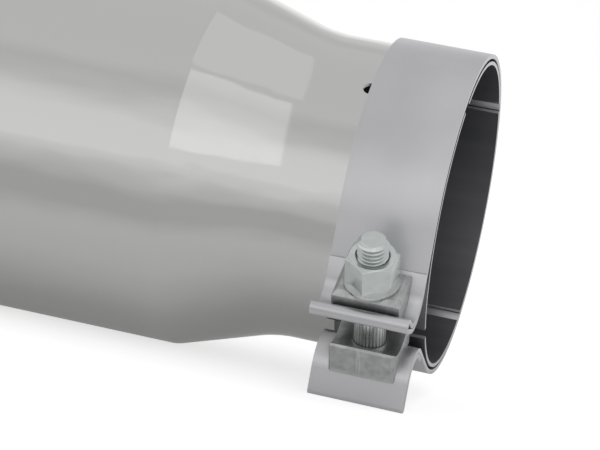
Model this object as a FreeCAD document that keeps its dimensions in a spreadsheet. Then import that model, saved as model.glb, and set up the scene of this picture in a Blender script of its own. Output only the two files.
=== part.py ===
import FreeCAD, Part
import math
import os
import Sketcher

# Exhaust tip with its band clamp, in millimetres.
# The origin is the centre of the inlet mouth. +X runs out of the mouth along the tube, towards the
# pipe that the tip slips over, and +Z is up. The tip lies on its wide tube and on the lower lip of
# the clamp, whose lug hangs on the -Y side.

SIZES = [
    # The tube: a slotted neck that slips over the exhaust pipe, a cone and the wide outlet
    ("pipe_radius", 50.8),
    ("slip_clearance", 0.8),
    ("tube_wall", 1.2),
    ("neck_length", 55.0),
    ("cone_length", 34.0),
    ("total_length", 305.0),
    ("outlet_radius", 63.5),
    ("neck_blend", 38.0),
    ("shoulder_blend", 8.0),
    ("rim_break", 0.3),
    ("slot_length", 32.4),
    ("slot_width", 4.8),
    ("slot_back_upper", 46.1),
    ("slot_front_upper", 136.3),
    ("slot_front_lower", 227.5),
    ("slot_back_lower", 313.2),
    # The band: one strip round the neck, each end bent to a hook and folded back on itself
    ("band_width", 31.75),
    ("strip_thickness", 1.5),
    ("band_slack", 0.9),
    ("seat_gap", 0.1),
    ("layer_gap", 0.2),
    ("hook_radius", 7.85),
    ("upper_hook_height", 19.25),
    ("upper_fold_gap", 0.7),
    ("upper_fold_turn", 12.5),
    ("upper_fold_radius", 0.8),
    ("upper_hem_run", 6.8),
    ("lower_hook_depth", 17.4),
    ("lower_lip_turn", 35.0),
    ("lower_lip_length", 7.4),
    ("lower_hem_run", 4.0),
    # The lug: two half-round bars in the hooks, the saddle between them, the bolt and its nut
    ("bolt_reach", 10.1),
    ("bolt_shift", 0.85),
    ("upper_bar_side", 3.2),
    ("upper_bar_edge", 1.5),
    ("lower_bar_side", 1.65),
    ("lower_bar_edge", 0.6),
    ("bar_width", 22.0),
    ("saddle_width", 21.6),
    ("saddle_depth", 21.0),
    ("saddle_skirt", 4.15),
    ("saddle_web", 3.95),
    ("saddle_rise", 4.7),
    ("saddle_dip_radius", 13.0),
    ("saddle_edge", 0.7),
    ("bolt_radius", 5.0),
    ("bolt_length", 59.5),
    ("bolt_chamfer", 1.15),
    ("spline_radius", 5.2),
    ("spline_depth", 0.45),
    ("spline_count", 28),
    ("spline_length", 27.2),
    ("hole_play", 0.2),
    ("band_hole_play", 0.4),
    ("band_slot_length", 13.0),
    ("head_radius", 7.5),
    ("head_height", 4.0),
    ("head_chamfer", 0.8),
    ("nut_across_flats", 15.3),
    ("nut_height", 11.5),
    ("nut_turn", 35.0),
    ("nut_face_radius", 7.2),
    ("nut_flange_radius", 9.0),
    ("nut_flange_rim", 1.0),
    ("nut_flange_rise", 2.0),
    ("nut_bore_play", 0.1),
    ("nut_countersink", 0.6),
]

doc = FreeCAD.newDocument("exhaust_tip")
sheet = doc.addObject("Spreadsheet::Sheet", "sizes")
for row, (alias, value) in enumerate(SIZES, start=1):
    sheet.set("A%d" % row, alias)
    sheet.set("B%d" % row, str(value))
    sheet.setAlias("B%d" % row, alias)
doc.recompute()


def work_out(rule):
    """The number that a rule over the sheet's sizes gives."""
    total = sheet.evalExpression(rule.replace("sizes.", ""))
    return float(getattr(total, "Value", total))


# Rules that several pieces share
BORE = "(sizes.pipe_radius + sizes.slip_clearance)"
NECK = "(sizes.pipe_radius + sizes.slip_clearance + sizes.tube_wall)"
BAND_INSIDE = "(%s + sizes.band_slack)" % NECK
BOLT_OUT = "(%s + sizes.strip_thickness + sizes.bolt_reach)" % BAND_INSIDE
BOLT_ALONG = "(sizes.bolt_shift - sizes.band_width / 2)"
LUG_START = "(%s - sizes.bar_width / 2)" % BOLT_ALONG
BAR_RADIUS = "(sizes.hook_radius - sizes.seat_gap)"
UPPER_FLAT = "(sizes.upper_hook_height + sizes.upper_bar_side)"
LOWER_FLAT = "(-sizes.lower_hook_depth - sizes.lower_bar_side)"
HOOK_OUTSIDE = "(sizes.hook_radius + 2 * sizes.strip_thickness + sizes.layer_gap)"
CRADLE = "(%s + sizes.seat_gap)" % HOOK_OUTSIDE
CRADLE_TOP = "(%s - sizes.lower_hook_depth)" % CRADLE
SADDLE_BASE = "(%s - sizes.saddle_skirt)" % CRADLE_TOP
SADDLE_DIP = "(%s + sizes.saddle_web)" % CRADLE_TOP
HEAD_TOP = "(%s - sizes.seat_gap)" % LOWER_FLAT
NUT_BASE = "(%s + sizes.seat_gap)" % UPPER_FLAT
BOLT_END = "(%s + sizes.bolt_length)" % HEAD_TOP


def new_body(label):
    body = doc.addObject("PartDesign::Body", label)
    body.Label = label
    return body


def sketch_on(body, name, role, offset=None):
    """A sketch on one of the body's origin planes, moved by rules for its own x, y and normal."""
    sketch = body.newObject("Sketcher::SketchObject", name)
    plane = next(item for item in body.Origin.OriginFeatures if item.Role == role)
    sketch.AttachmentSupport = [(plane, "")]
    sketch.MapMode = "FlatFace"
    for axis, rule in (offset or {}).items():
        sketch.setExpression("AttachmentOffset.Base." + axis, rule)
    return sketch


def bind(sketch, constraint, rule):
    index = sketch.addConstraint(constraint)
    sketch.setExpression("Constraints[%d]" % index, rule)


def pin(sketch, geo, point, x_rule, y_rule):
    """Holds one point of the sketch at two rules; None puts it on that axis."""
    here = sketch.getPoint(geo, point)
    if x_rule is None:
        sketch.addConstraint(Sketcher.Constraint("PointOnObject", geo, point, -2))
    else:
        bind(sketch, Sketcher.Constraint("DistanceX", -1, 1, geo, point, here.x), x_rule)
    if y_rule is None:
        sketch.addConstraint(Sketcher.Constraint("PointOnObject", geo, point, -1))
    else:
        bind(sketch, Sketcher.Constraint("DistanceY", -1, 1, geo, point, here.y), y_rule)


def flat(x_rule, y_rule):
    """The point that two rules give, on the sketch."""
    x = work_out(x_rule) if x_rule else 0.0
    y = work_out(y_rule) if y_rule else 0.0
    return FreeCAD.Vector(x, y, 0)


def draw_polygon(sketch, corners):
    """A closed outline through the corners, each a pair of rules."""
    points = [flat(x_rule, y_rule) for x_rule, y_rule in corners]
    count = len(points)
    for i in range(count):
        sketch.addGeometry(Part.LineSegment(points[i], points[(i + 1) % count]))
    for i in range(count):
        sketch.addConstraint(Sketcher.Constraint("Coincident", i, 2, (i + 1) % count, 1))
    for i, (x_rule, y_rule) in enumerate(corners):
        pin(sketch, i, 1, x_rule, y_rule)


def corner_arc(before, corner, after, radius):
    """The arc that rounds a corner, where it starts and ends on the way round, and its turn."""
    back = (before - corner).normalize()
    ahead = (after - corner).normalize()
    half = back.getAngle(ahead) / 2
    first = corner + back * (radius / math.tan(half))
    last = corner + ahead * (radius / math.tan(half))
    middle = corner + (back + ahead).normalize() * (radius / math.sin(half))
    turns_left = back.cross(ahead).z < 0
    low, high = (first, last) if turns_left else (last, first)
    start = math.atan2(low.y - middle.y, low.x - middle.x)
    end = math.atan2(high.y - middle.y, high.x - middle.x)
    if end < start:
        end += 2 * math.pi
    ring = Part.Circle(middle, FreeCAD.Vector(0, 0, 1), radius)
    return Part.ArcOfCircle(ring, start, end), first, last, turns_left


def draw_rounded(sketch, corners):
    """A closed outline of straights. A corner with a radius rule is rounded, the rest are sharp."""
    points = [flat(x_rule, y_rule) for x_rule, y_rule, radius_rule in corners]
    count = len(points)
    arcs = {}
    for i, (x_rule, y_rule, radius_rule) in enumerate(corners):
        if radius_rule:
            arcs[i] = corner_arc(points[i - 1], points[i], points[(i + 1) % count],
                                 work_out(radius_rule))
    for i in range(count):
        ahead = (i + 1) % count
        first = arcs[i][2] if i in arcs else points[i]
        last = arcs[ahead][1] if ahead in arcs else points[ahead]
        sketch.addGeometry(Part.LineSegment(first, last))
    for i, (x_rule, y_rule, radius_rule) in enumerate(corners):
        before = (i - 1) % count
        if i not in arcs:
            sketch.addConstraint(Sketcher.Constraint("Coincident", before, 2, i, 1))
            pin(sketch, i, 1, x_rule, y_rule)
            continue
        arc = sketch.addGeometry(arcs[i][0])
        marker = sketch.addGeometry(Part.Point(points[i]), True)
        pin(sketch, marker, 1, x_rule, y_rule)
        entry, leave = (1, 2) if arcs[i][3] else (2, 1)
        sketch.addConstraint(Sketcher.Constraint("Tangent", before, 2, arc, entry))
        sketch.addConstraint(Sketcher.Constraint("Tangent", i, 1, arc, leave))
        bind(sketch, Sketcher.Constraint("Radius", arc, work_out(radius_rule)), radius_rule)
        sketch.addConstraint(Sketcher.Constraint("PointOnObject", marker, 1, before))
        sketch.addConstraint(Sketcher.Constraint("PointOnObject", marker, 1, i))


def draw_circle(sketch, x_rule, y_rule, radius_rule):
    radius = work_out(radius_rule)
    middle = flat(x_rule, y_rule)
    geo = sketch.addGeometry(Part.Circle(middle, FreeCAD.Vector(0, 0, 1), radius))
    pin(sketch, geo, 3, x_rule, y_rule)
    bind(sketch, Sketcher.Constraint("Radius", geo, radius), radius_rule)


def feature(body, kind, name, sketch, **rules):
    """A pad, pocket, revolution or groove of the sketch, with its sizes bound to the rules."""
    item = body.newObject("PartDesign::" + kind, name)
    item.Profile = sketch
    for key, rule in rules.items():
        item.setExpression(key, rule)
    sketch.Visibility = False
    return item


def draw_slot(sketch, length_rule, width_rule):
    """A slot from beyond the mouth to a round end, along the sketch's own x axis."""
    half = work_out(width_rule) / 2
    end = flat("-" + length_rule, None)
    lift = FreeCAD.Vector(0, half, 0)
    mouth = FreeCAD.Vector(half, 0, 0)
    ring = Part.Circle(end, FreeCAD.Vector(0, 0, 1), half)
    arc = sketch.addGeometry(Part.ArcOfCircle(ring, math.pi / 2, math.pi * 3 / 2))
    for ends in ((end - lift, mouth - lift), (mouth - lift, mouth + lift), (mouth + lift, end + lift)):
        sketch.addGeometry(Part.LineSegment(*ends))
    for join in ((0, 2, 1, 1), (1, 2, 2, 1), (2, 2, 3, 1), (3, 2, 0, 1)):
        sketch.addConstraint(Sketcher.Constraint("Coincident", *join))
    pin(sketch, arc, 3, "-" + length_rule, None)
    bind(sketch, Sketcher.Constraint("Radius", arc, half), width_rule + " / 2")
    sketch.addConstraint(Sketcher.Constraint("Vertical", arc, 1, arc, 3))
    sketch.addConstraint(Sketcher.Constraint("Vertical", arc, 2, arc, 3))
    sketch.addConstraint(Sketcher.Constraint("Horizontal", 1))
    sketch.addConstraint(Sketcher.Constraint("Vertical", 2))
    sketch.addConstraint(Sketcher.Constraint("Horizontal", 3))
    bind(sketch, Sketcher.Constraint("DistanceX", -1, 1, 2, 1, half), width_rule + " / 2")


def through_cut(body, name, sketch, side="Symmetric"):
    cut = feature(body, "Pocket", name, sketch)
    cut.Type = "ThroughAll"
    cut.SideType = side
    return cut


def pattern(body, name, original, sketch, axis, count_rule):
    """The feature repeated evenly, all the way round an axis of the sketch."""
    ring = body.newObject("PartDesign::PolarPattern", name)
    ring.Originals = [original]
    ring.Axis = (sketch, [axis])
    ring.Angle = 360
    ring.setExpression("Occurrences", count_rule)
    body.Tip = ring
    return ring


# The tube is one turned wall, with four slots in from the mouth of its neck.
CONE_START = "-(sizes.neck_length)"
CONE_END = "-(sizes.neck_length + sizes.cone_length)"
CONE_RISE = "(sizes.outlet_radius - %s)" % NECK
WALL_SHIFT = "(sizes.tube_wall * tan(atan(%s / sizes.cone_length) / 2))" % CONE_RISE

tube = new_body("tip_body")
wall_section = sketch_on(tube, "wall_section", "XY_Plane")
draw_rounded(wall_section, [
    (None, NECK + " - sizes.rim_break", None),
    ("-sizes.rim_break", NECK, None),
    (CONE_START, NECK, "sizes.neck_blend"),
    (CONE_END, "sizes.outlet_radius", "sizes.shoulder_blend"),
    ("sizes.rim_break - sizes.total_length", "sizes.outlet_radius", None),
    ("-sizes.total_length", "sizes.outlet_radius - sizes.rim_break", None),
    ("-sizes.total_length", "sizes.outlet_radius - sizes.tube_wall + sizes.rim_break", None),
    ("sizes.rim_break - sizes.total_length", "sizes.outlet_radius - sizes.tube_wall", None),
    ("%s - %s" % (CONE_END, WALL_SHIFT), "sizes.outlet_radius - sizes.tube_wall", None),
    ("%s - %s" % (CONE_START, WALL_SHIFT), BORE, "sizes.neck_blend + sizes.tube_wall"),
    ("-sizes.rim_break", BORE, None),
    (None, BORE + " + sizes.rim_break", None),
])
wall = feature(tube, "Revolution", "wall", wall_section)
wall.ReferenceAxis = (wall_section, ["H_Axis"])
wall.Angle = 360

for place in ("back_upper", "front_upper", "front_lower", "back_lower"):
    outline = sketch_on(tube, "slot_%s_outline" % place, "XY_Plane")
    turn_rule = "sizes.slot_" + place
    turn = FreeCAD.Rotation(FreeCAD.Vector(1, 0, 0), work_out(turn_rule))
    outline.AttachmentOffset = FreeCAD.Placement(FreeCAD.Vector(), turn)
    outline.setExpression("AttachmentOffset.Rotation.Angle", turn_rule)
    draw_slot(outline, "sizes.slot_length", "sizes.slot_width")
    through_cut(tube, "slot_%s_cut" % place, outline, "One side")
doc.recompute()
tube.Tip = tube.Group[-1]
doc.recompute()


# The clamp is drawn about its own centre with the bolt upright on its -Y side, then turned about
# the tube so that its lower lip touches the ground that the tube lies on.


def around(centre, radius, angle):
    """A point of the clamp's own Y-Z plane, at an angle in degrees from +Y."""
    turn = math.radians(angle)
    return FreeCAD.Vector(0, centre.y + radius * math.cos(turn), centre.z + radius * math.sin(turn))


def heading(centre, point):
    """The angle in degrees at which a point lies from the centre."""
    return math.degrees(math.atan2(point.z - centre.z, point.y - centre.y))


class Strip:
    """A flat strip bent along its middle, with the edges of both its faces."""

    def __init__(self, thickness):
        self.half = thickness / 2
        self.left = []
        self.right = []
        self.first = None
        self.last = None

    def note_ends(self, start, end):
        if self.first is None:
            self.first = start
        self.last = end

    def run(self, first, last):
        way = (last - first).normalize()
        side = FreeCAD.Vector(0, -way.z, way.y) * self.half
        self.left.append(Part.makeLine(first + side, last + side))
        self.right.append(Part.makeLine(first - side, last - side))
        self.note_ends((first + side, first - side), (last + side, last - side))

    def bend(self, centre, radius, start, end):
        turn = 1 if end > start else -1
        pairs = []
        for edges, sign in ((self.left, -turn), (self.right, turn)):
            ring = radius + sign * self.half
            points = [around(centre, ring, start + (end - start) * share)
                      for share in (0, 0.5, 1)]
            edges.append(Part.Arc(*points).toShape())
            pairs.append((points[0], points[2]))
        self.note_ends(*zip(*pairs))

    def face(self):
        caps = [Part.makeLine(*self.first), Part.makeLine(*self.last)]
        edges = self.left + self.right + caps
        return Part.Face(Part.Wire(Part.__sortEdges__(edges)))


origin = FreeCAD.Vector(0, 0, 0)
thickness = work_out("sizes.strip_thickness")
band_middle = work_out(BAND_INSIDE) + thickness / 2
bolt_out = work_out(BOLT_OUT)
outer_layer = work_out(HOOK_OUTSIDE) - thickness / 2
hem_layer = work_out("sizes.hook_radius") + thickness / 2
upper_hook = FreeCAD.Vector(0, -bolt_out, work_out("sizes.upper_hook_height"))
lower_hook = FreeCAD.Vector(0, -bolt_out, -work_out("sizes.lower_hook_depth"))

# Where the strip leaves the neck for each hook
upper_reach = math.degrees(math.acos((band_middle + outer_layer) / upper_hook.Length))
upper_leave = heading(origin, upper_hook) - upper_reach
lower_reach = math.degrees(math.acos((band_middle + outer_layer) / lower_hook.Length))
lower_leave = heading(origin, lower_hook) + lower_reach

# The open fold at the end of the upper lip
fold = thickness / 2 + work_out("sizes.upper_fold_radius")
fold_out = hem_layer + fold + work_out("sizes.upper_fold_gap")
fold_way = 180 + work_out("sizes.upper_fold_turn")
upper_fold = around(upper_hook, fold_out, fold_way)
hem_leave = fold_way + math.degrees(math.acos((hem_layer + fold) / fold_out))
lip_leave = fold_way + math.degrees(math.acos((outer_layer - fold) / fold_out))
hem_way = around(origin, 1, upper_leave + 90) * work_out("sizes.upper_hem_run")
upper_back = upper_leave + 180

# The closed fold at the tip of the lower lip
lip_way = 180 - work_out("sizes.lower_lip_turn")
lip_run = around(origin, 1, lip_way + 90) * work_out("sizes.lower_lip_length")
tip_fold = (outer_layer - hem_layer) / 2
lower_fold = around(lower_hook, (outer_layer + hem_layer) / 2, lip_way) + lip_run
lower_back = lower_leave + 180
lower_hem_way = around(origin, 1, lower_back - 90) * work_out("sizes.lower_hem_run")

strip = Strip(thickness)
hem_start = around(upper_hook, hem_layer, upper_back)
strip.run(hem_start - hem_way, hem_start)
strip.bend(upper_hook, hem_layer, upper_back, hem_leave)
strip.run(around(upper_hook, hem_layer, hem_leave), around(upper_fold, -fold, hem_leave))
strip.bend(upper_fold, fold, hem_leave - 180, lip_leave)
strip.run(around(upper_fold, fold, lip_leave), around(upper_hook, outer_layer, lip_leave))
strip.bend(upper_hook, outer_layer, lip_leave, upper_back)
strip.run(around(upper_hook, outer_layer, upper_back), around(origin, band_middle, upper_leave))
strip.bend(origin, band_middle, upper_leave, lower_leave)
strip.run(around(origin, band_middle, lower_leave), around(lower_hook, outer_layer, lower_back))
strip.bend(lower_hook, outer_layer, lower_back, lip_way)
lip_start = around(lower_hook, outer_layer, lip_way)
strip.run(lip_start, lip_start + lip_run)
strip.bend(lower_fold, tip_fold, lip_way, lip_way + 180)
hem_back = around(lower_hook, hem_layer, lip_way)
strip.run(hem_back + lip_run, hem_back)
strip.bend(lower_hook, hem_layer, lip_way, lower_back)
hem_end = around(lower_hook, hem_layer, lower_back)
strip.run(hem_end, hem_end + lower_hem_way)

# The clamp's turn about the tube, and the side on which it is drawn up against the neck
tip_round = tip_fold + thickness / 2
tip_height = (work_out("sizes.outlet_radius") - tip_round) / lower_fold.Length
clamp_turn = math.degrees(math.asin(tip_height)) - 180 - heading(origin, lower_fold)
drawn_up = FreeCAD.Vector(0, work_out("sizes.seat_gap - sizes.band_slack"), 0)
on_neck = FreeCAD.Placement(drawn_up, FreeCAD.Rotation(FreeCAD.Vector(1, 0, 0), clamp_turn))

band_width = work_out("sizes.band_width")
bolt_along = work_out(BOLT_ALONG)
strip_solid = strip.face().extrude(FreeCAD.Vector(-band_width, 0, 0))

# One long hole for the bolt, down through the layers of both hooks
hole_radius = work_out("sizes.spline_radius + sizes.band_hole_play")
hole_reach = work_out("sizes.band_slot_length") / 2 - hole_radius
hole_deep = upper_hook.z - lower_hook.z
hole_foot = FreeCAD.Vector(bolt_along, -bolt_out, lower_hook.z)
up = FreeCAD.Vector(0, 0, 1)
spread = FreeCAD.Vector(0, hole_reach, 0)
long_hole = Part.makeBox(2 * hole_radius, 2 * hole_reach, hole_deep,
                         hole_foot - spread - FreeCAD.Vector(hole_radius, 0, 0))
for side in (-1, 1):
    long_hole = long_hole.fuse(Part.makeCylinder(hole_radius, hole_deep, hole_foot + spread * side, up))

band = doc.addObject("Part::Feature", "clamp_band")
band.Label = "clamp_band"
band.Shape = strip_solid.cut(long_hole).removeSplitter()
band.Placement = on_neck


def draw_bar(sketch, centre_rule, side_rule, up_or_down):
    """Half a disc with short straight sides and a flat, opening up (+1) or down (-1)."""
    radius = work_out(BAR_RADIUS)
    side = work_out(side_rule) * up_or_down
    middle = flat("-" + BOLT_OUT, centre_rule)
    left = middle - FreeCAD.Vector(radius, 0, 0)
    right = middle + FreeCAD.Vector(radius, 0, 0)
    lift = FreeCAD.Vector(0, side, 0)
    ring = Part.Circle(middle, FreeCAD.Vector(0, 0, 1), radius)
    start = math.pi if up_or_down > 0 else 0
    arc = sketch.addGeometry(Part.ArcOfCircle(ring, start, start + math.pi))
    first, last = (left, right) if up_or_down > 0 else (right, left)
    for ends in ((last, last + lift), (last + lift, first + lift), (first + lift, first)):
        sketch.addGeometry(Part.LineSegment(*ends))
    for join in ((0, 2, 1, 1), (1, 2, 2, 1), (2, 2, 3, 1), (3, 2, 0, 1)):
        sketch.addConstraint(Sketcher.Constraint("Coincident", *join))
    pin(sketch, arc, 3, "-" + BOLT_OUT, centre_rule)
    bind(sketch, Sketcher.Constraint("Radius", arc, radius), BAR_RADIUS)
    sketch.addConstraint(Sketcher.Constraint("Horizontal", arc, 1, arc, 3))
    sketch.addConstraint(Sketcher.Constraint("Horizontal", arc, 2, arc, 3))
    sketch.addConstraint(Sketcher.Constraint("Vertical", 1))
    sketch.addConstraint(Sketcher.Constraint("Horizontal", 2))
    sketch.addConstraint(Sketcher.Constraint("Vertical", 3))
    bind(sketch, Sketcher.Constraint("DistanceY", 1, 1, 1, 2, side),
         "%s * %d" % (side_rule, up_or_down))


def drill(body, name, radius_rule):
    """A hole for the bolt, right through the body."""
    ring = sketch_on(body, name + "_ring", "XY_Plane", {"x": BOLT_ALONG, "y": "-" + BOLT_OUT})
    draw_circle(ring, None, None, radius_rule)
    return through_cut(body, name, ring)


def break_edges(body, name, base, wanted, size_rule):
    """Chamfers all the edges of the faces that are wanted."""
    item = body.newObject("PartDesign::Chamfer", name)
    picked = [i for i, face in enumerate(base.Shape.Faces, start=1) if wanted(face)]
    item.Base = (base, ["Face%d" % i for i in picked])
    item.setExpression("Size", size_rule)
    return item


def is_flat(face):
    return face.Surface.TypeId == "Part::GeomPlane"


def is_bar_flat(face):
    """A bar's wide flat, across the bolt."""
    return is_flat(face) and abs(face.normalAt(0, 0).z) > 0.5


def make_bar(which, centre_rule, up_or_down, hole_rule):
    body = new_body(which + "_bar")
    section = sketch_on(body, which + "_bar_section", "YZ_Plane", {"z": LUG_START})
    draw_bar(section, centre_rule, "sizes.%s_bar_side" % which, up_or_down)
    blank = feature(body, "Pad", which + "_bar_blank", section, Length="sizes.bar_width")
    doc.recompute()
    break_edges(body, which + "_bar_edges", blank, is_bar_flat, "sizes.%s_bar_edge" % which)
    drill(body, which + "_bar_hole", hole_rule)
    body.Tip = body.Group[-1]
    body.Placement = on_neck
    return body


upper_bar = make_bar("upper", "sizes.upper_hook_height", 1, "sizes.bolt_radius + sizes.hole_play")
lower_bar = make_bar("lower", "-sizes.lower_hook_depth", -1, "sizes.spline_radius + sizes.hole_play")

# The saddle block rides on the lower hook and is hollowed for the upper one.
saddle = new_body("spacer_block")
SADDLE_START = "(%s - sizes.saddle_width / 2)" % BOLT_ALONG
SADDLE_FRONT = "-(%s + sizes.saddle_depth / 2)" % BOLT_OUT
SADDLE_BACK = "-(%s - sizes.saddle_depth / 2)" % BOLT_OUT
saddle_block = sketch_on(saddle, "saddle_block", "YZ_Plane", {"z": SADDLE_START})
draw_polygon(saddle_block, [
    (SADDLE_FRONT, SADDLE_BASE),
    (SADDLE_BACK, SADDLE_BASE),
    (SADDLE_BACK, "%s + sizes.saddle_rise" % SADDLE_DIP),
    (SADDLE_FRONT, "%s + sizes.saddle_rise" % SADDLE_DIP),
])
saddle_blank = feature(saddle, "Pad", "saddle_blank", saddle_block, Length="sizes.saddle_width")
doc.recompute()
break_edges(saddle, "saddle_edges", saddle_blank, is_flat, "sizes.saddle_edge")
cradle_ring = sketch_on(saddle, "cradle_ring", "YZ_Plane", {"z": SADDLE_START})
draw_circle(cradle_ring, "-" + BOLT_OUT, "-sizes.lower_hook_depth", CRADLE)
through_cut(saddle, "cradle", cradle_ring)
dip_ring = sketch_on(saddle, "dip_ring", "YZ_Plane", {"z": SADDLE_START})
draw_circle(dip_ring, "-" + BOLT_OUT, "%s + sizes.saddle_dip_radius" % SADDLE_DIP,
            "sizes.saddle_dip_radius")
through_cut(saddle, "dip", dip_ring)
drill(saddle, "saddle_hole", "sizes.spline_radius + sizes.hole_play")
saddle.Tip = saddle.Group[-1]
saddle.Placement = on_neck

# The bolt: a low round head, a splined shoulder that grips the lower bar and the saddle, a shank
bolt = new_body("clamp_bolt")
bolt_section = sketch_on(bolt, "bolt_section", "XZ_Plane", {"x": BOLT_ALONG, "z": BOLT_OUT})
SPLINE_TOP = "(%s + sizes.spline_length)" % HEAD_TOP
draw_polygon(bolt_section, [
    (None, "%s - sizes.head_height" % HEAD_TOP),
    ("sizes.head_radius - sizes.head_chamfer", "%s - sizes.head_height" % HEAD_TOP),
    ("sizes.head_radius", "%s - sizes.head_height + sizes.head_chamfer" % HEAD_TOP),
    ("sizes.head_radius", HEAD_TOP),
    ("sizes.spline_radius", HEAD_TOP),
    ("sizes.spline_radius", SPLINE_TOP),
    ("sizes.bolt_radius", SPLINE_TOP),
    ("sizes.bolt_radius", "%s - sizes.bolt_chamfer" % BOLT_END),
    ("sizes.bolt_radius - sizes.bolt_chamfer", BOLT_END),
    (None, BOLT_END),
])
bolt_blank = feature(bolt, "Revolution", "bolt_blank", bolt_section)
bolt_blank.ReferenceAxis = (bolt_section, ["V_Axis"])
bolt_blank.Angle = 360
groove_notch = sketch_on(bolt, "groove_notch", "XY_Plane",
                         {"x": BOLT_ALONG, "y": "-" + BOLT_OUT, "z": SPLINE_TOP})
draw_polygon(groove_notch, [
    ("sizes.spline_radius - sizes.spline_depth", None),
    ("sizes.spline_radius + sizes.spline_depth", "-sizes.spline_depth"),
    ("sizes.spline_radius + sizes.spline_depth", "sizes.spline_depth"),
])
groove = feature(bolt, "Pocket", "groove", groove_notch, Length="sizes.spline_length")
doc.recompute()
pattern(bolt, "spline", groove, groove_notch, "N_Axis", "sizes.spline_count")
bolt.Placement = on_neck
doc.recompute()


def place_on_bolt(item, z_rule):
    item.setExpression("Placement.Base.x", BOLT_ALONG)
    item.setExpression("Placement.Base.y", "-" + BOLT_OUT)
    item.setExpression("Placement.Base.z", z_rule)


def bound(kind, name, z_rule, **rules):
    """A primitive standing on the bolt's line, with its sizes bound to the rules."""
    item = doc.addObject("Part::" + kind, name)
    place_on_bolt(item, z_rule)
    for key, rule in rules.items():
        item.setExpression(key, rule)
    return item


# The nut: a hexagon, its corners turned off to a cone at the top, on a round flange
hexagon = doc.addObject("Part::Prism", "nut_hexagon")
hexagon.Polygon = 6
spun = FreeCAD.Rotation(FreeCAD.Vector(0, 0, -1), work_out("sizes.nut_turn"))
hexagon.Placement = FreeCAD.Placement(FreeCAD.Vector(), spun)
hexagon.setExpression("Placement.Rotation.Angle", "sizes.nut_turn")
place_on_bolt(hexagon, NUT_BASE)
hexagon.setExpression("Circumradius", "sizes.nut_across_flats / sqrt(3)")
hexagon.setExpression("Height", "sizes.nut_height")
corner_cone = bound("Cone", "nut_corner_cone", NUT_BASE, Radius2="sizes.nut_face_radius",
                    Radius1="sizes.nut_face_radius + sizes.nut_height * sqrt(3)",
                    Height="sizes.nut_height")
nut_top = doc.addObject("Part::Common", "nut_top")
nut_top.Base = hexagon
nut_top.Tool = corner_cone
flange_rim = bound("Cylinder", "nut_flange_rim_disc", NUT_BASE,
                   Radius="sizes.nut_flange_radius", Height="sizes.nut_flange_rim")
flange_cone = bound("Cone", "nut_flange_cone", NUT_BASE + " + sizes.nut_flange_rim",
                    Radius1="sizes.nut_flange_radius",
                    Radius2="sizes.nut_flange_radius - sizes.nut_flange_rise",
                    Height="sizes.nut_flange_rise")
nut_blank = doc.addObject("Part::MultiFuse", "nut_blank")
nut_blank.Shapes = [nut_top, flange_rim, flange_cone]
nut_bore = bound("Cylinder", "nut_bore", NUT_BASE + " - sizes.nut_height / 2",
                 Radius="sizes.bolt_radius + sizes.nut_bore_play",
                 Height="sizes.nut_height * 2")
nut_mouth = bound("Cone", "nut_mouth",
                  NUT_BASE + " + sizes.nut_height - sizes.nut_countersink",
                  Radius1="sizes.bolt_radius",
                  Radius2="sizes.bolt_radius + 2 * sizes.nut_countersink",
                  Height="2 * sizes.nut_countersink")
nut_opening = doc.addObject("Part::MultiFuse", "nut_opening")
nut_opening.Shapes = [nut_bore, nut_mouth]
nut = doc.addObject("Part::Cut", "flange_nut")
nut.Label = "flange_nut"
nut.Base = nut_blank
nut.Tool = nut_opening
nut.Placement = on_neck
doc.recompute()

os.makedirs("parts", exist_ok=True)
pieces = [tube, band, upper_bar, lower_bar, saddle, bolt, nut]
for item in doc.Objects:
    if "Invalid" in item.State or "Error" in item.State:
        raise RuntimeError("%s did not build" % item.Label)
for piece in pieces:
    if piece.Shape.isNull() or not piece.Shape.isValid() or not piece.Shape.Solids:
        raise RuntimeError("%s has no sound solid" % piece.Label)
for piece in pieces:
    piece.Shape.exportStep("parts/%s.step" % piece.Label)
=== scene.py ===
import math

import bpy
from bpy.props import (FloatProperty, FloatVectorProperty, IntProperty, PointerProperty,
                       StringProperty)
from mathutils import Matrix, Vector


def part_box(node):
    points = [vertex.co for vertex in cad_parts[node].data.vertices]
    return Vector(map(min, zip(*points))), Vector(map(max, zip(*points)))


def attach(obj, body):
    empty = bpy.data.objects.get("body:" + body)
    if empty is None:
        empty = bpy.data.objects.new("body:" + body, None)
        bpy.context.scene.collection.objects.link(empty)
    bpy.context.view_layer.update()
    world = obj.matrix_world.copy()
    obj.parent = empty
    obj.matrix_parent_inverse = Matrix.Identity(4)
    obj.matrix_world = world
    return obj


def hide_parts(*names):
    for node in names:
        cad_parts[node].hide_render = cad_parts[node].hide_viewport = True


bl_info = {
    "name": "Exhaust Tip",
    "version": (1, 0, 0),
    "blender": (4, 5, 0),
    "location": "3D View > Sidebar > Exhaust Tip",
    "description": "Dresses a slip-on exhaust tip and its band clamp, and sets its stage",
    "category": "Object",
}

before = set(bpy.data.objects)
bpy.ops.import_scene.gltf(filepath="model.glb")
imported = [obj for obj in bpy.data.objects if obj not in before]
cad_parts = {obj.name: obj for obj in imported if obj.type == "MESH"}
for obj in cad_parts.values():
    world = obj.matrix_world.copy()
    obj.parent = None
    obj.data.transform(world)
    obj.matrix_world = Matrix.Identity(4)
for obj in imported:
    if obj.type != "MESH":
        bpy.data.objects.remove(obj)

MM = 0.001
TUBE_LOW, TUBE_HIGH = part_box("tip_body")

# The camera, fitted to the outlines: place and near clip in metres, turn in degrees, lens in mm
CAMERA_PLACE = (0.1083, -0.7560, 0.0429)
CAMERA_TURN = (85.674, -10.594, 13.010)
CAMERA_LENS = 134.7
CAMERA_SENSOR = 36
CAMERA_NEAR = 0.05

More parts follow.
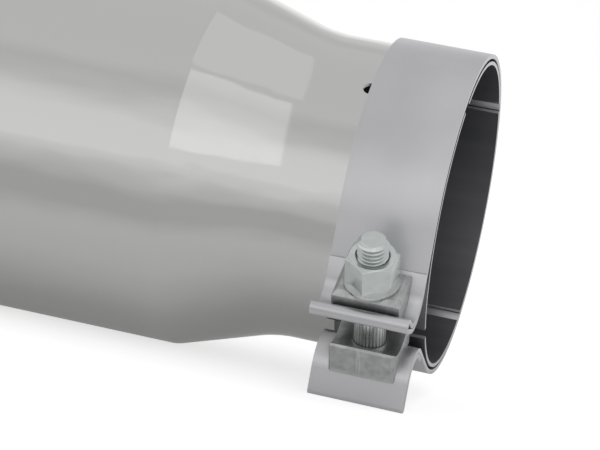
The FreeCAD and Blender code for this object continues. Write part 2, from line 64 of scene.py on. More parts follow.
# A window of two panes: the name, middle, width and height, and brightness of each
WINDOW_PANES = (("window_lower", (0.22, -0.96, 0.66), (0.42, 1.08), 0.2),
                ("window_upper", (0.10, -0.095, 1.12), (0.42, 0.87), 0.1))

# White walls under a greyer ceiling: grey by how far up the light comes from
ROOM_GREYS = ((0, 1), (0.3, 0.98), (0.44, 0.87), (0.54, 0.75), (0.68, 0.69), (0.8, 0.77),
              (1, 0.76))

# Seen straight on, the floor is lifted to white. To metal the floor glows in greys, a painted
# reflection: darker near the tube as painted shade, with a darker strip a little way off, and paler
# farther out towards the white walls: grey by the share of its reach
FLOOR_SIZE = 14
FLOOR_LIFT = 0.68
REFLECTION_REACH = 1.5
REFLECTION_GREYS = ((0, 0.19), (0.02, 0.2), (0.04, 0.31), (0.06, 0.3), (0.078, 0.15), (0.12, 0.12),
               (0.16, 0.23), (0.43, 0.4), (1, 0.46))

# Sockets of a Mix node that mixes colours
FACTOR, FIRST, SECOND, MIXED = 0, 6, 7, 2

# Material slots of the tube, in their order
BUFFED, BORE, CUT, NECK_END, EDGE = range(5)

# Material slots of the band and the lug's pieces, of the bolt, and of the nut
SKIN, BARE = range(2)
PLATED, LIT_SPLINE = range(2)
HEXAGON, GLINTING, CONE = range(3)

# Points nearer than this are taken as one place
NEAR = 0.01 * MM


class TipSizes(bpy.types.PropertyGroup):
    """Sizes of the tube and the clamp, as the solids have them, and of the detail on them."""

    neck_radius: FloatProperty(
        name="Neck radius", description="Outside of the slotted inlet neck",
        default=52.8 * MM, min=0.02, unit="LENGTH", precision=5)
    neck_length: FloatProperty(
        name="Neck length", description="Inlet mouth to the foot of the cone",
        default=55 * MM, min=0.02, unit="LENGTH", precision=5)
    shaded_neck_length: FloatProperty(
        name="Shaded length", description="End of the neck that the band covers",
        default=28 * MM, min=0.001, unit="LENGTH", precision=5)
    cone_length: FloatProperty(
        name="Cone length", description="Foot of the cone to its shoulder",
        default=34 * MM, min=0.01, unit="LENGTH", precision=5)
    outlet_radius: FloatProperty(
        name="Outlet radius", description="Outside of the wide tube",
        default=TUBE_HIGH.z, min=0.02, unit="LENGTH", precision=5)
    total_length: FloatProperty(
        name="Total length", description="Inlet mouth to outlet end",
        default=-TUBE_LOW.x, min=0.1, unit="LENGTH", precision=5)
    wall: FloatProperty(
        name="Wall", description="Thickness of the tube's sheet",
        default=1.2 * MM, min=0.0005, unit="LENGTH", precision=5)
    neck_blend: FloatProperty(
        name="Neck blend", description="Outside radius where the neck runs into the cone",
        default=38 * MM, min=0.001, unit="LENGTH", precision=5)
    shoulder_blend: FloatProperty(
        name="Shoulder blend", description="Outside radius where the cone meets the wide tube",
        default=8 * MM, min=0.001, unit="LENGTH", precision=5)
    slot_length: FloatProperty(
        name="Slot length", description="Inlet mouth to the middle of the slot's round end",
        default=32.4 * MM, min=0.005, unit="LENGTH", precision=5)
    slot_width: FloatProperty(
        name="Slot width", description="Width of each slot",
        default=4.8 * MM, min=0.0005, unit="LENGTH", precision=5)
    slot_turns: FloatVectorProperty(
        name="Slot turns", description="Where the slots lie round the neck, from +Y",
        default=[math.radians(turn) for turn in (46.1, 136.3, 227.5, 313.2)],
        size=4, unit="ROTATION")
    rim_round: FloatProperty(
        name="Rim round", description="Broken edge of the tube's rims and slots",
        default=0.35 * MM, min=0.00005, unit="LENGTH", precision=5)
    clamp_turn: FloatProperty(
        name="Clamp turn", description="How far the lug hangs below the level of the axis",
        default=math.radians(38.117), unit="ROTATION")
    clamp_drop: FloatProperty(
        name="Clamp offset", description="How far the band is drawn up against the neck",
        default=0.8 * MM, unit="LENGTH", precision=5)
    bolt_along: FloatProperty(
        name="Bolt along", description="Inlet mouth to the bolt's line",
        default=-15.025 * MM, unit="LENGTH", precision=5)
    bolt_out: FloatProperty(
        name="Bolt out", description="Band centre to the bolt's line",
        default=65.3 * MM, unit="LENGTH", precision=5)
    bolt_radius: FloatProperty(
        name="Bolt radius", description="Crests of the thread",
        default=5 * MM, min=0.001, unit="LENGTH", precision=5)
    bolt_end: FloatProperty(
        name="Bolt end", description="Tip of the bolt above the band's middle",
        default=40.35 * MM, unit="LENGTH", precision=5)
    thread_start: FloatProperty(
        name="Thread start", description="Foot of the thread above the band's middle",
        default=9.1 * MM, unit="LENGTH", precision=5)
    thread_pitch: FloatProperty(
        name="Thread pitch", description="Rise of the thread in one turn",
        default=1.5 * MM, min=0.0005, unit="LENGTH", precision=5)
    flange_rim: FloatProperty(
        name="Flange rim", description="Top of the flange's rim above the band's middle",
        default=23.6 * MM, unit="LENGTH", precision=5)
    flange_top: FloatProperty(
        name="Flange top", description="Top of the nut's flange above the band's middle",
        default=25.6 * MM, unit="LENGTH", precision=5)
    edge_round: FloatProperty(
        name="Edge round", description="Broken edges of the strip and the nut",
        default=0.22 * MM, min=0.00002, unit="LENGTH", precision=5)
    lug_round: FloatProperty(
        name="Lug round", description="Glinting edges of the bars and the block",
        default=0.4 * MM, min=0.00002, unit="LENGTH", precision=5)
    tube_sides: IntProperty(
        name="Tube sides", description="Facets round the tube", default=192, min=24, max=512)


class TipColours(bpy.types.PropertyGroup):
    """Colours of the finishes, as sRGB hex."""

    polished: StringProperty(
        name="Polished stainless", description="Buffed outside of the tube", default="C9C9C7")
    bore: StringProperty(
        name="Raw bore", description="Mill-dark inside of the tube", default="8C8C90")
    bore_streak: StringProperty(
        name="Bore streaks", description="Darker streaks along the bore", default="74757A")
    # Painted shade: the neck end under the band is darker and duller than the buffed tube
    neck_end: StringProperty(
        name="Neck end", description="Shaded end of the neck, under the band", default="8E8E91")
    neck_streak: StringProperty(
        name="Neck end streaks", description="Darker streaks on the neck end", default="77777A")
    # Painted highlight: the broken edge of the slots and the mouth is paler than the buffed sheet
    edge_glint: StringProperty(
        name="Edge glint", description="Broken edge of the slots and the mouth", default="D6D6D7")
    satin: StringProperty(
        name="Satin stainless", description="Rolled strip of the band", default="C9C9CB")
    satin_cloud: StringProperty(
        name="Satin clouds", description="Duller clouds on the strip", default="BEBEC1")
    sheared: StringProperty(
        name="Sheared edge", description="Cut edge of the strip and the slots", default="BEBEC0")
    lug: StringProperty(
        name="Lug steel", description="Bars and saddle block", default="C0C1C1")
    lug_blotch: StringProperty(
        name="Lug blotches", description="Darker blotches on the lug steel", default="9C9D9D")
    # Painted highlight on the broken edges of the lug, and on the saddle's front
    glinting_steel: StringProperty(
        name="Glinting steel", description="Glinting edges of the bars and the block", default="D8D9DA")
    zinc: StringProperty(
        name="Zinc plate", description="Nut and bolt", default="D2D7D5")
    zinc_mottle: StringProperty(
        name="Zinc mottle", description="Duller crystals of the zinc", default="BFC5C2")
    # Painted highlight: the nut's broken edges are paler than its plate
    glinting_zinc: StringProperty(
        name="Glinting zinc", description="Glinting edges of the nut", default="EDF0EF")
    # Painted light: the spline's zinc is paler than the plate, so that it stands out of the block's
    # shade
    lit_spline: StringProperty(
        name="Brightened zinc", description="Splined shoulder of the bolt", default="E9ECEA")
    lit_spline_mottle: StringProperty(
        name="Brightened mottle", description="Duller crystals of the frosted zinc", default="D8DDDA")
    # Painted shade: the flange's cone is darker than the rest of the nut
    flange: StringProperty(
        name="Flange", description="Cone of the nut's flange", default="B0B4B2")
    shaded_flange_mottle: StringProperty(
        name="Flange mottle", description="Duller crystals of the flange", default="9EA1A0")
    floor: StringProperty(
        name="Floor", description="Pale studio floor", default="C8C8C8")


def linear(colour):
    """The linear RGBA of an sRGB hex colour."""
    parts = [int(colour[i:i + 2], 16) / 255 for i in (0, 2, 4)]
    return tuple(((c + 0.055) / 1.055) ** 2.4 if c > 0.04045 else c / 12.92 for c in parts) + (1,)


def add_node(tree, kind, settings=None, inputs=None):
    """A node with its settings; an input takes a value or another node's output."""
    node = tree.nodes.new("ShaderNode" + kind)
    for name, value in (settings or {}).items():
        setattr(node, name, value)
    for name, value in (inputs or {}).items():
        if isinstance(value, bpy.types.NodeSocket):
            tree.links.new(value, node.inputs[name])
        else:
            node.inputs[name].default_value = value
    return node


def new_material(name):
    """An empty material and its node tree."""
    material = bpy.data.materials.new(name)
    material.use_nodes = True
    material.node_tree.nodes.clear()
    return material, material.node_tree


def sizes():
    """The scene's sizes."""
    return bpy.context.scene.tip_sizes


def colours():
    """The scene's colours."""
    return bpy.context.scene.tip_colours


def clamp_matrix():
    """From the clamp's own frame, with the bolt upright on its -Y side, to the part's frame."""
    s = sizes()
    return Matrix.Translation((0, -s.clamp_drop, 0)) @ Matrix.Rotation(s.clamp_turn, 4, "X")


def deselect():
    """Leaves edit mode and selects nothing."""
    if bpy.context.mode != "OBJECT":
        bpy.ops.object.mode_set(mode="OBJECT")
    bpy.ops.object.select_all(action="DESELECT")


def choose(piece):
    """Makes a piece the only one selected, and active."""
    deselect()
    piece.select_set(True)
    bpy.context.view_layer.objects.active = piece


def pick(piece, wanted):
    """In edit mode, selects only the vertices whose place wanted() accepts."""
    bpy.ops.mesh.select_mode(type="VERT")
    bpy.ops.mesh.select_all(action="DESELECT")
    bpy.ops.object.mode_set(mode="OBJECT")
    for vertex in piece.data.vertices:
        vertex.select = wanted(vertex.co)
    bpy.ops.object.mode_set(mode="EDIT")


def apply_modifiers(piece):
    """Applies all of a piece's modifiers, in their order."""
    choose(piece)
    for modifier in list(piece.modifiers):
        bpy.ops.object.modifier_apply(modifier=modifier.name)


def smooth_by_angle(piece, degrees):
    """Smooths the shading, and keeps edges sharper than this many degrees."""
    choose(piece)
    bpy.ops.object.shade_smooth_by_angle(angle=math.radians(degrees))


def settle(piece):
    """Applies the place into the mesh and makes the piece ride."""
    choose(piece)
    bpy.ops.object.transform_apply(location=True, rotation=True, scale=True)
    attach(piece, "root")


def merged_copy(node, name):
    """A copy of a solid's mesh with its loose triangles merged and its flats made whole."""
    piece = bpy.data.objects.new(name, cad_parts[node].data.copy())
    bpy.context.scene.collection.objects.link(piece)
    piece.data.materials.clear()
    choose(piece)
    bpy.ops.mesh.customdata_custom_splitnormals_clear()
    bpy.ops.object.mode_set(mode="EDIT")
    bpy.ops.mesh.select_all(action="SELECT")
    bpy.ops.mesh.remove_doubles(threshold=0.002 * MM)
    bpy.ops.mesh.dissolve_limited(angle_limit=math.radians(0.5))
    bpy.ops.object.mode_set(mode="OBJECT")
    return piece


def cut_away(piece, cutter):
    """Cuts the cutter's shape out of a piece and removes the cutter."""
    cut = piece.modifiers.new("cut", "BOOLEAN")
    cut.operation = "DIFFERENCE"
    cut.solver = "EXACT"
    cut.object = cutter
    apply_modifiers(piece)
    bpy.data.objects.remove(cutter)


def round_edges(piece, width, segments=2, angle=25, slot=-1):
    """Breaks the sharp edges; the new faces take their neighbours' slot unless one is given."""
    bevel = piece.modifiers.new("broken edges", "BEVEL")
    bevel.width = width
    bevel.segments = segments
    bevel.limit_method = "ANGLE"
    bevel.angle_limit = math.radians(angle)
    bevel.material = slot


def give(piece, *materials):
    """Adds a piece's materials, in the order of its slots."""
    for material in materials:
        piece.data.materials.append(material)


# Finishes


def pattern(tree, size, detail, roughness=0.5):
    """Noise on the piece's own coordinates; its features are size mm long along X, Y and Z."""
    place = add_node(tree, "TexCoord")
    stretch = add_node(tree, "Mapping", inputs={
        "Vector": place.outputs["Object"], "Scale": [1 / (length * MM) for length in size]})
    noise = add_node(tree, "TexNoise", inputs={
        "Vector": stretch.outputs[0], "Scale": 1, "Detail": detail, "Roughness": roughness})
    return noise.outputs["Fac"]


def polished_stainless():
    """Stainless sheet, buffed to a mirror: it shows the room, with faint buffing lines round it."""
    material, tree = new_material("buffed stainless steel")
    # The wheel's lines are 0.1 mm apart on the real tube; they are drawn coarser, so as to show
    lines = pattern(tree, (1.111, 33.33, 33.33), 3)
    # The buffed sheet is uneven over a hand's width along it and a thumb's width round it
    dents = pattern(tree, (111.1, 38.46, 38.46), 3, roughness=0.45)
    haze = add_node(tree, "MapRange", inputs={"Value": lines, "To Min": 0.05, "To Max": 0.13})
    waves = add_node(tree, "Bump", inputs={
        "Height": dents, "Strength": 1, "Distance": 1.6 * MM})
    grain = add_node(tree, "Bump", inputs={
        "Height": lines, "Normal": waves.outputs[0], "Strength": 0.05, "Distance": 0.02 * MM})
    metal = add_node(tree, "BsdfPrincipled", inputs={
        "Base Color": linear(colours().polished), "Metallic": 1,
        "Roughness": haze.outputs[0], "Normal": grain.outputs[0]})
    add_node(tree, "OutputMaterial", inputs={"Surface": metal.outputs[0]})
    return material


def mill_finish(name, dark, pale):
    """Stainless sheet as it left the mill, dull and streaked along the tube; on the neck end under
    the band its darker tone is painted shade.
    """
    material, tree = new_material(name)
    # Roll marks are under 1 mm wide; they are drawn coarser, so as to show
    streaks = pattern(tree, (83.33, 4.545, 4.545), 4)
    tone = add_node(tree, "Mix", {"data_type": "RGBA"}, {
        FACTOR: streaks, FIRST: linear(dark), SECOND: linear(pale)})
    metal = add_node(tree, "BsdfPrincipled", inputs={
        "Base Color": tone.outputs[MIXED], "Metallic": 1, "Roughness": 0.42})
    add_node(tree, "OutputMaterial", inputs={"Surface": metal.outputs[0]})
    return material


def satin_stainless():
    """Rolled strip with its mill finish: soft, even, with fine lines along the strip."""
    material, tree = new_material("2B rolled stainless strip")
    # Roll lines are 0.1 mm apart on the real strip; they are drawn coarser, so as to show
    lines = pattern(tree, (0.4167, 16.67, 16.67), 2)
    # The strip's tone drifts softly, about twice over its width
    clouds = pattern(tree, (16.67, 16.67, 16.67), 3)
    tone = add_node(tree, "Mix", {"data_type": "RGBA"}, {
        FACTOR: clouds, FIRST: linear(colours().satin), SECOND: linear(colours().satin_cloud)})
    rough = add_node(tree, "MapRange", inputs={"Value": lines, "To Min": 0.3, "To Max": 0.42})
    bump = add_node(tree, "Bump", inputs={
        "Height": lines, "Strength": 0.12, "Distance": 0.02 * MM})
    metal = add_node(tree, "BsdfPrincipled", inputs={
        "Base Color": tone.outputs[MIXED], "Metallic": 1,
        "Roughness": rough.outputs[0], "Normal": bump.outputs[0]})
    add_node(tree, "OutputMaterial", inputs={"Surface": metal.outputs[0]})
    return material


def bare_metal(name, colour, smooth, rough):
    """Bare metal of a cut edge, with a torn grain; on broken edges a colour brighter than the skin
    paints a highlight along them.
    """
    material, tree = new_material(name)
    # A blade's tears are 0.2 mm long on the real edge; they are drawn coarser, so as to show
    tears = pattern(tree, (1.111, 1.111, 1.111), 2)
    haze = add_node(tree, "MapRange", inputs={
        "Value": tears, "To Min": smooth, "To Max": rough})
    metal = add_node(tree, "BsdfPrincipled", inputs={
        "Base Color": linear(colour), "Metallic": 1, "Roughness": haze.outputs[0]})
    add_node(tree, "OutputMaterial", inputs={"Surface": metal.outputs[0]})
    return material


def rib_highlight_and_pale_foot(tree):
    """Where the saddle's front is painted paler, from 0 to 1: a painted highlight in a narrow arch
    up it, standing for a faint raised rib, and a paler foot.
    """
    # Places in the clamp's own frame: X along the tube, -Y out from it, Z up the bolt
    arch_middle, arch_half_width = -15.95 * MM, 0.45 * MM
    arch_foot, arch_foot_full = -8.6 * MM, -8 * MM
    arch_spring, arch_top = -2.5 * MM, 0.3 * MM
    line_faded, line_full = 0.35 * MM, 0.05 * MM
    pale_foot_top, pale_foot_full = -7.6 * MM, -9.4 * MM
    front = -75.2 * MM

    place = add_node(tree, "TexCoord")
    upright = clamp_matrix().inverted()
    level = add_node(tree, "Mapping", inputs={
        "Vector": place.outputs["Object"], "Location": upright.translation,
        "Rotation": upright.to_euler()})
    axes = add_node(tree, "SeparateXYZ", inputs={0: level.outputs[0]})
    aside = add_node(tree, "Math", {"operation": "SUBTRACT"}, {
        0: axes.outputs["X"], 1: arch_middle})
    # Above its spring the arch is squeezed to a half circle, so that one length draws all of it
    above = add_node(tree, "MapRange", {"clamp": False}, {
        "Value": axes.outputs["Z"], "From Min": arch_spring, "From Max": arch_top,
        "To Min": 0, "To Max": arch_half_width})
    above = add_node(tree, "Math", {"operation": "MAXIMUM"}, {0: above.outputs[0], 1: 0})
    across = add_node(tree, "CombineXYZ", inputs={"X": aside.outputs[0], "Y": above.outputs[0]})
    reach = add_node(tree, "VectorMath", {"operation": "LENGTH"}, {0: across.outputs[0]})
    off = add_node(tree, "Math", {"operation": "SUBTRACT"}, {
        0: reach.outputs["Value"], 1: arch_half_width})
    off = add_node(tree, "Math", {"operation": "ABSOLUTE"}, {0: off.outputs[0]})
    line = add_node(tree, "MapRange", inputs={
        "Value": off.outputs[0], "From Min": line_faded, "From Max": line_full})
    below = add_node(tree, "MapRange", inputs={
        "Value": axes.outputs["Z"], "From Min": arch_foot, "From Max": arch_foot_full})
    arch = add_node(tree, "Math", {"operation": "MULTIPLY"}, {
        0: line.outputs[0], 1: below.outputs[0]})
    foot = add_node(tree, "MapRange", inputs={
        "Value": axes.outputs["Z"], "From Min": pale_foot_top, "From Max": pale_foot_full})
    lightened = add_node(tree, "Math", {"operation": "MAXIMUM"}, {
        0: arch.outputs[0], 1: foot.outputs[0]})
    outside = add_node(tree, "Math", {"operation": "LESS_THAN"}, {0: axes.outputs["Y"], 1: front})
    both = add_node(tree, "Math", {"operation": "MULTIPLY"}, {
        0: lightened.outputs[0], 1: outside.outputs[0]})
    return both.outputs[0]


def lug_steel(name, highlighted=False):
    """Cold-formed bar and saddle: plain steel with a blotchy, slightly pitted skin."""
    material, tree = new_material(name)
    # The block's blotches are about 3 mm wide in the photograph
    blotches = pattern(tree, (3.125, 3.125, 3.125), 4, roughness=0.6)
    # Pits are 0.2 mm wide on the real skin; they are drawn coarser, so as to show
    pits = pattern(tree, (0.909, 0.909, 0.909), 2)
    spread = add_node(tree, "MapRange", inputs={
        "Value": blotches, "From Min": 0.25, "From Max": 0.75})
    tone = add_node(tree, "Mix", {"data_type": "RGBA"}, {
        FACTOR: spread.outputs[0], FIRST: linear(colours().lug_blotch),
        SECOND: linear(colours().lug)})
    # Painted highlight: a thin pale arch up the saddle's front, standing for a faint rib; its foot
    # is paler too
    if highlighted:
        faint = add_node(tree, "Math", {"operation": "MULTIPLY"}, {0: rib_highlight_and_pale_foot(tree), 1: 0.45})
        tone = add_node(tree, "Mix", {"data_type": "RGBA"}, {
            FACTOR: faint.outputs[0], FIRST: tone.outputs[MIXED],
            SECOND: linear(colours().glinting_steel)})
    rough = add_node(tree, "MapRange", inputs={
        "Value": blotches, "To Min": 0.52, "To Max": 0.34})
    bump = add_node(tree, "Bump", inputs={
        "Height": pits, "Strength": 0.25, "Distance": 0.05 * MM})
    metal = add_node(tree, "BsdfPrincipled", inputs={
        "Base Color": tone.outputs[MIXED], "Metallic": 1,
        "Roughness": rough.outputs[0], "Normal": bump.outputs[0]})
    add_node(tree, "OutputMaterial", inputs={"Surface": metal.outputs[0]})
    return material


def zinc_plate(name, dull, bright, smooth, rough):
    """Clear-passivated zinc: bright, a little cold and green, with a fine crystal mottle."""
    material, tree = new_material(name)
    # Crystals are under 0.5 mm wide on the real plate; they are drawn coarser, so as to show
    mottle = pattern(tree, (3.333, 3.333, 3.333), 1)
    tone = add_node(tree, "Mix", {"data_type": "RGBA"}, {
        FACTOR: mottle, FIRST: linear(dull), SECOND: linear(bright)})
    haze = add_node(tree, "MapRange", inputs={
        "Value": mottle, "To Min": rough, "To Max": smooth})
    metal = add_node(tree, "BsdfPrincipled", inputs={
        "Base Color": tone.outputs[MIXED], "Metallic": 1, "Roughness": haze.outputs[0]})
    add_node(tree, "OutputMaterial", inputs={"Surface": metal.outputs[0]})
    return material


# Pieces


class TIP_OT_stage(bpy.types.Operator):
    """Camera, pale floor, white surround and soft lamps"""

    bl_idname = "tip.stage"
    bl_label = "Stage"

    def execute(self, context):
        context.scene.view_settings.view_transform = "Standard"
        self.camera()
        self.floor()
        self.room()
        for pane in WINDOW_PANES:
            self.softbox(*pane)
        return {"FINISHED"}

    def camera(self):
        """The photograph's camera."""
        deselect()
        bpy.ops.object.camera_add(
            location=CAMERA_PLACE, rotation=[math.radians(turn) for turn in CAMERA_TURN])
        camera = bpy.context.object
        camera.name = "photo_camera"
        camera.data.lens = CAMERA_LENS
        camera.data.sensor_width = CAMERA_SENSOR
        camera.data.clip_start = CAMERA_NEAR
        bpy.context.scene.camera = camera

    def floor(self):
        """A matt floor under the tube and the clamp, white where it is seen straight on, with a
        painted reflection in greys where metal mirrors it.
        """
        ground = min(TUBE_LOW.z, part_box("clamp_band")[0].z)
        deselect()
        bpy.ops.mesh.primitive_plane_add(size=FLOOR_SIZE, location=(0, 0, ground))
        floor = bpy.context.object
        floor.name = "studio_floor"
        material, tree = new_material("pale studio floor")
        path = add_node(tree, "LightPath")
        mirrored = add_node(tree, "Math", {"operation": "MAXIMUM"}, {
            0: path.outputs["Is Glossy Ray"], 1: path.outputs["Is Transmission Ray"]})
        place = add_node(tree, "TexCoord")
        axes = add_node(tree, "SeparateXYZ", inputs={0: place.outputs["Object"]})
        away = add_node(tree, "Math", {"operation": "ABSOLUTE"}, {0: axes.outputs["Y"]})
        away = add_node(tree, "Math", {"operation": "DIVIDE"}, {
            0: away.outputs[0], 1: REFLECTION_REACH})
        # Painted reflection: mirror rays see the floor glow in greys, darker near the tube as
        # painted shade
        painted_reflection = add_node(tree, "ValToRGB", inputs={"Fac": away.outputs[0]})
        self.greys(painted_reflection, REFLECTION_GREYS)
        mirrored = add_node(tree, "Math", {"operation": "MULTIPLY"}, {
            0: mirrored.outputs[0], 1: painted_reflection.outputs[0]})
        direct = add_node(tree, "Math", {"operation": "MULTIPLY"}, {
            0: path.outputs["Is Camera Ray"], 1: FLOOR_LIFT})
        lift = add_node(tree, "Math", {"operation": "MAXIMUM"}, {
            0: direct.outputs[0], 1: mirrored.outputs[0]})
        glow = add_node(tree, "Emission", inputs={"Strength": lift.outputs[0]})
        matt = add_node(tree, "BsdfDiffuse", inputs={"Color": linear(colours().floor)})
        both = add_node(tree, "AddShader", inputs={0: matt.outputs[0], 1: glow.outputs[0]})
        add_node(tree, "OutputMaterial", inputs={"Surface": both.outputs[0]})
        give(floor, material)

    def room(self):
        """White walls and a greyer ceiling all round."""
        world = bpy.data.worlds.new("white studio")
        world.use_nodes = True
        tree = world.node_tree
        way = add_node(tree, "TexCoord")
        height = add_node(tree, "SeparateXYZ", inputs={0: way.outputs["Generated"]})
        room = add_node(tree, "ValToRGB", inputs={"Fac": height.outputs["Z"]})
        self.greys(room, ROOM_GREYS)
        tree.links.new(room.outputs[0], tree.nodes["Background"].inputs["Color"])
        tree.nodes["Background"].inputs["Strength"].default_value = 1
        bpy.context.scene.world = world

    def greys(self, ramp, steps):
        """Gives a colour ramp its greys, each at its place from 0 to 1."""
        stops = ramp.color_ramp.elements
        while len(stops) < len(steps):
            stops.new(0.5)
        for stop, (place, grey) in zip(stops, steps):
            stop.position = place
            stop.color = (grey, grey, grey, 1)

    def softbox(self, name, place, size, glow):
        """A rectangular lamp that faces the tip, with the brightness of its face."""
        aim = Vector((place[0], 0, 0)) - Vector(place)
        deselect()
        bpy.ops.object.light_add(
            type="AREA", location=place, rotation=aim.to_track_quat("-Z", "Y").to_euler())
        lamp = bpy.context.object
        lamp.name = name
        lamp.data.shape = "RECTANGLE"
        lamp.data.size, lamp.data.size_y = size
        lamp.data.energy = glow * math.pi * size[0] * size[1]
        lamp.visible_camera = False


class TIP_OT_tube(bpy.types.Operator):
    """The polished tube, with the slots in its neck"""

    bl_idname = "tip.tube"
    bl_label = "Polished tube"

    def execute(self, context):
        s, tones = sizes(), colours()
        tube = self.shell()
        wall = tube.modifiers.new("wall", "SOLIDIFY")
        wall.thickness = s.wall
        wall.offset = -1
        wall.use_even_offset = True
        wall.material_offset = BORE
        wall.material_offset_rim = CUT
        # The broken edges of the slots and the mouth take a paler metal: a painted highlight round
        # them
        give(tube, polished_stainless(),
             mill_finish("mill-finish stainless bore", tones.bore_streak, tones.bore),
             bare_metal("cut stainless edge", tones.sheared, 0.28, 0.42),
             mill_finish("stainless neck end with painted shade", tones.neck_streak, tones.neck_end),
             bare_metal("glinting sheet edge", tones.edge_glint, 0.12, 0.2))
        apply_modifiers(tube)
        # Painted shade: the end of the neck under the band takes the darker neck-end finish
        for face in tube.data.polygons:
            if face.material_index == BUFFED and face.center.x > -s.shaded_neck_length:
                face.material_index = NECK_END
        for cutter in self.slot_cutters(tube):
            cut_away(tube, cutter)
        round_edges(tube, s.rim_round, angle=40, slot=EDGE)
        apply_modifiers(tube)
        smooth_by_angle(tube, 35)
        # Large faces rule the shading, so the narrow edges of the slots do not tilt it
        even = tube.modifiers.new("even shading", "WEIGHTED_NORMAL")
        even.keep_sharp = True
        apply_modifiers(tube)
        settle(tube)
        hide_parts("tip_body")
        return {"FINISHED"}

    def shell(self):
        """The outside of the tube: neck, cone and wide tube, with its two bends rounded."""
        s = sizes()
        deselect()
        bpy.ops.mesh.primitive_cylinder_add(
            vertices=s.tube_sides, radius=s.neck_radius, depth=s.shaded_neck_length,
            end_fill_type="NOTHING", location=(-s.shaded_neck_length / 2, 0, 0),
            rotation=(0, math.radians(90), 0))
        tube = bpy.context.object
        tube.name = "polished_tube"
        bpy.ops.object.transform_apply(location=True, rotation=True, scale=True)
        bpy.ops.object.mode_set(mode="EDIT")
        pick(tube, lambda place: place.x < -s.shaded_neck_length / 2)
        foot = -s.neck_length
        shoulder = foot - s.cone_length
        bpy.ops.mesh.extrude_region_move(
            TRANSFORM_OT_translate={"value": (foot + s.shaded_neck_length, 0, 0)})
        bpy.ops.mesh.extrude_region_move(
            TRANSFORM_OT_translate={"value": (-s.cone_length, 0, 0)})
        grow = s.outlet_radius / s.neck_radius
        bpy.ops.transform.resize(value=(1, grow, grow), center_override=(foot, 0, 0))
        bpy.ops.mesh.extrude_region_move(
            TRANSFORM_OT_translate={"value": (-s.total_length - shoulder, 0, 0)})
        half_turn = math.atan2(s.outlet_radius - s.neck_radius, s.cone_length) / 2
        for x, radius, steps in ((foot, s.neck_blend, 16), (shoulder, s.shoulder_blend, 10)):
            pick(tube, lambda place: abs(place.x - x) < NEAR)
            bpy.ops.mesh.select_mode(type="EDGE")
            bpy.ops.mesh.bevel(
                offset=radius * math.tan(half_turn), segments=steps, profile=0.5)
        bpy.ops.mesh.select_all(action="SELECT")
        bpy.ops.mesh.normals_make_consistent(inside=False)
        bpy.ops.object.mode_set(mode="OBJECT")
        return tube

    def slot_cutters(self, tube):
        """A cutter the shape of a slot with a round end, for each place round the neck."""
        s = sizes()
        past_wall = 10 * s.wall
        cutters = []
        for turn in s.slot_turns:
            deselect()
            bpy.ops.mesh.primitive_cylinder_add(
                vertices=48, radius=s.slot_width / 2, depth=past_wall,
                rotation=(math.radians(90), 0, 0), location=(-s.slot_length, s.neck_radius, 0))
            cutter = bpy.context.object
            bpy.ops.object.transform_apply(location=True, rotation=True, scale=True)
            bpy.ops.object.mode_set(mode="EDIT")
            pick(cutter, lambda place: place.x > NEAR - s.slot_length)
            bpy.ops.transform.translate(value=(s.slot_length + s.slot_width, 0, 0))
            bpy.ops.object.mode_set(mode="OBJECT")
            give(cutter, *tube.data.materials)
            for face in cutter.data.polygons:
                face.material_index = CUT
            cutter.data.transform(Matrix.Rotation(turn, 4, "X"))
            cutters.append(cutter)
        return cutters


class TIP_OT_band(bpy.types.Operator):
    """The clamp's folded band"""

    bl_idname = "tip.band"
    bl_label = "Clamp band"

    def execute(self, context):
        band = merged_copy("clamp_band", "folded_band")
        give(band, satin_stainless(),
             bare_metal("sheared strip edge", colours().sheared, 0.28, 0.42))
        # The sheared edges are the faces that look straight along the tube
        for face in band.data.polygons:
            face.material_index = BARE if abs(face.normal.x) > 0.99 else SKIN
        round_edges(band, sizes().edge_round)
        apply_modifiers(band)
        smooth_by_angle(band, 30)
        settle(band)
        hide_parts("clamp_band")
        return {"FINISHED"}


class TIP_OT_lug(bpy.types.Operator):
    """The half-round bars and the saddle block"""

    bl_idname = "tip.lug"
    bl_label = "Bars and saddle"

    def execute(self, context):
        steel = lug_steel("cold-formed steel")
        highlighted = lug_steel("scuffed cold-formed steel", highlighted=True)
        # The broken edges take a paler steel: a painted highlight along them
        glinting = bare_metal("rubbed steel edge", colours().glinting_steel, 0.22, 0.34)
        for node, name, skin in (("upper_bar", "upper_half_round", steel),
                                 ("lower_bar", "lower_half_round", steel),
                                 ("spacer_block", "saddle_block", highlighted)):
            piece = merged_copy(node, name)
            give(piece, skin, glinting)
            round_edges(piece, sizes().lug_round, segments=3, angle=40, slot=BARE)
            apply_modifiers(piece)
            smooth_by_angle(piece, 30)
            settle(piece)
            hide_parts(node)
        return {"FINISHED"}


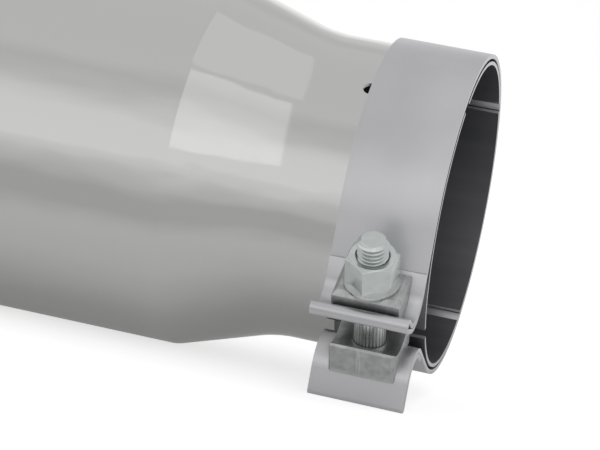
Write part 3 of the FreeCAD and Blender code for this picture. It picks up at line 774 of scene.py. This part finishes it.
class TIP_OT_fasteners(bpy.types.Operator):
    """The threaded bolt and the flange nut"""

    bl_idname = "tip.fasteners"
    bl_label = "Bolt and nut"

    def execute(self, context):
        s, tones = sizes(), colours()
        upright = clamp_matrix().inverted()
        plate = zinc_plate("clear zinc plate", tones.zinc_mottle, tones.zinc, 0.16, 0.25)
        # The splined shoulder gets a paler zinc than the plate: painted light, lifting it out of
        # the shade of the block
        brightened = zinc_plate("frosted zinc spline", tones.lit_spline_mottle, tones.lit_spline, 0.24, 0.36)
        bolt = merged_copy("clamp_bolt", "threaded_bolt")
        cut_away(bolt, self.thread_groove())
        give(bolt, plate, brightened)
        for face in bolt.data.polygons:
            below_thread = (upright @ face.center).z < s.thread_start
            face.material_index = LIT_SPLINE if below_thread else PLATED
        smooth_by_angle(bolt, 30)
        settle(bolt)
        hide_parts("clamp_bolt")

        nut = merged_copy("flange_nut", "flange_nut_plated")
        # The flange's cone is darker than its rim and the hexagon: painted shade under the hexagon
        # The nut's broken edges take a paler zinc, a painted highlight along them
        give(nut, plate,
             bare_metal("rubbed zinc edge", tones.glinting_zinc, 0.15, 0.22),
             zinc_plate("shaded zinc flange", tones.shaded_flange_mottle, tones.flange, 0.3, 0.42))
        for face in nut.data.polygons:
            height = (upright @ face.center).z
            face.material_index = CONE if s.flange_rim < height < s.flange_top else HEXAGON
        round_edges(nut, s.edge_round, segments=3, slot=GLINTING)
        apply_modifiers(nut)
        smooth_by_angle(nut, 30)
        settle(nut)
        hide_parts("flange_nut")
        return {"FINISHED"}

    def thread_groove(self):
        """The groove between the threads: a sharp V of 60 degrees, wound up the bolt."""
        s = sizes()
        # The full V is this high, and the groove takes seven eighths of it, as metric threads do
        height = math.sqrt(3) / 2 * s.thread_pitch
        root = s.bolt_radius - 7 / 8 * height
        # The cutter's triangle stands a little proud of the bolt, so that it cuts cleanly
        proud = 0.1 * MM
        circle = (s.bolt_radius + proud - root) * 2 / 3
        deselect()
        bpy.ops.mesh.primitive_circle_add(
            vertices=3, radius=circle, fill_type="NOTHING",
            rotation=(math.radians(90), math.radians(-90), 0),
            location=(root + circle, 0, s.thread_start))
        groove = bpy.context.object
        bpy.ops.object.transform_apply(location=True, rotation=True, scale=True)
        wind = groove.modifiers.new("wind", "SCREW")
        wind.axis = "Z"
        wind.screw_offset = s.thread_pitch
        wind.iterations = math.ceil((s.bolt_end - s.thread_start) / s.thread_pitch) + 1
        wind.steps = wind.render_steps = 40
        wind.use_merge_vertices = False
        apply_modifiers(groove)
        bpy.ops.object.mode_set(mode="EDIT")
        bpy.ops.mesh.select_all(action="SELECT")
        bpy.ops.mesh.fill_holes(sides=3)
        bpy.ops.mesh.normals_make_consistent(inside=False)
        bpy.ops.object.mode_set(mode="OBJECT")
        on_bolt = Matrix.Translation((s.bolt_along, -s.bolt_out, 0))
        groove.data.transform(clamp_matrix() @ on_bolt)
        return groove


OPERATORS = (TIP_OT_stage, TIP_OT_tube, TIP_OT_band, TIP_OT_lug, TIP_OT_fasteners)


class TIP_PT_panel(bpy.types.Panel):
    """Lists the pieces of the exhaust tip"""

    bl_label = "Exhaust Tip"
    bl_idname = "TIP_PT_panel"
    bl_space_type = "VIEW_3D"
    bl_region_type = "UI"
    bl_category = "Exhaust Tip"

    def draw(self, context):
        for group in (context.scene.tip_sizes, context.scene.tip_colours):
            box = self.layout.box()
            for name in group.bl_rna.properties.keys():
                if name not in ("rna_type", "name"):
                    box.prop(group, name)
        for operator in OPERATORS:
            self.layout.operator(operator.bl_idname)


CLASSES = (TipSizes, TipColours) + OPERATORS + (TIP_PT_panel,)


def register():
    for item in CLASSES:
        bpy.utils.register_class(item)
    bpy.types.Scene.tip_sizes = PointerProperty(type=TipSizes)
    bpy.types.Scene.tip_colours = PointerProperty(type=TipColours)


def unregister():
    del bpy.types.Scene.tip_colours
    del bpy.types.Scene.tip_sizes
    for item in reversed(CLASSES):
        bpy.utils.unregister_class(item)


def main():
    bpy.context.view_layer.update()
    register()
    bpy.ops.tip.stage()
    bpy.ops.tip.tube()
    bpy.ops.tip.band()
    bpy.ops.tip.lug()
    bpy.ops.tip.fasteners()


if __name__ == "__main__":
    main()
